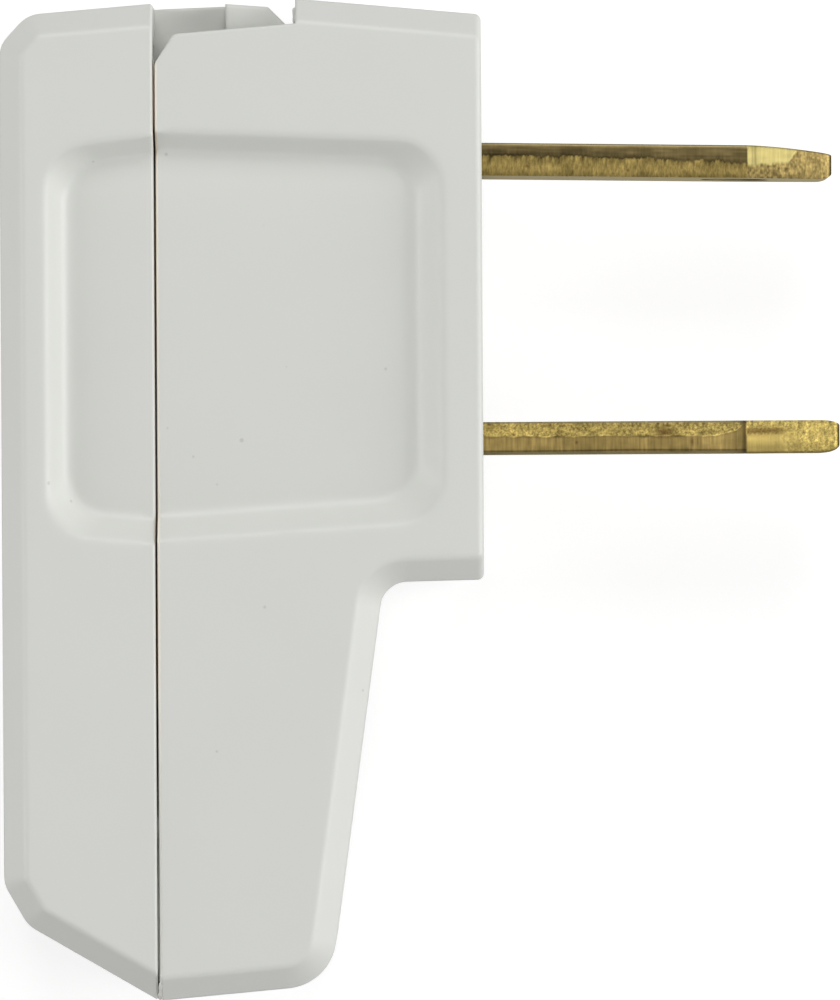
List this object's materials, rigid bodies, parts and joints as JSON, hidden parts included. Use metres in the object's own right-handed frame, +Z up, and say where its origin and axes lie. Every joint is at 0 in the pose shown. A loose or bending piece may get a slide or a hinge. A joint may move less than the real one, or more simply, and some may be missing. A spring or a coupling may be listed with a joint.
{
  "type": "flat plug",
  "caption": "Flat mains plug: snap-together moulded housing with a finger grip in each flat side, a cord inlet at its tail and flat brass blades at its front.",
  "frame": {"origin": "on the front face, midway between the blades, at half the thickness", "axes": "+X out of the front face along the blades, +Y from the tail towards the head, +Z up, across the thickness, with the plug lying on its flat side"},
  "size_m": [0.0384, 0.0456, 0.015],
  "materials": {
    "housing": "satin moulded",
    "blade": "sheared, unpolished",
    "screw": "plated"
  },
  "bodies": {
    "root": {"front_body": "housing", "rear_cover": "housing", "upper_blade": "blade", "lower_blade": "blade", "upper_screw": "screw", "lower_screw": "screw"}
  },
  "joints": []
}
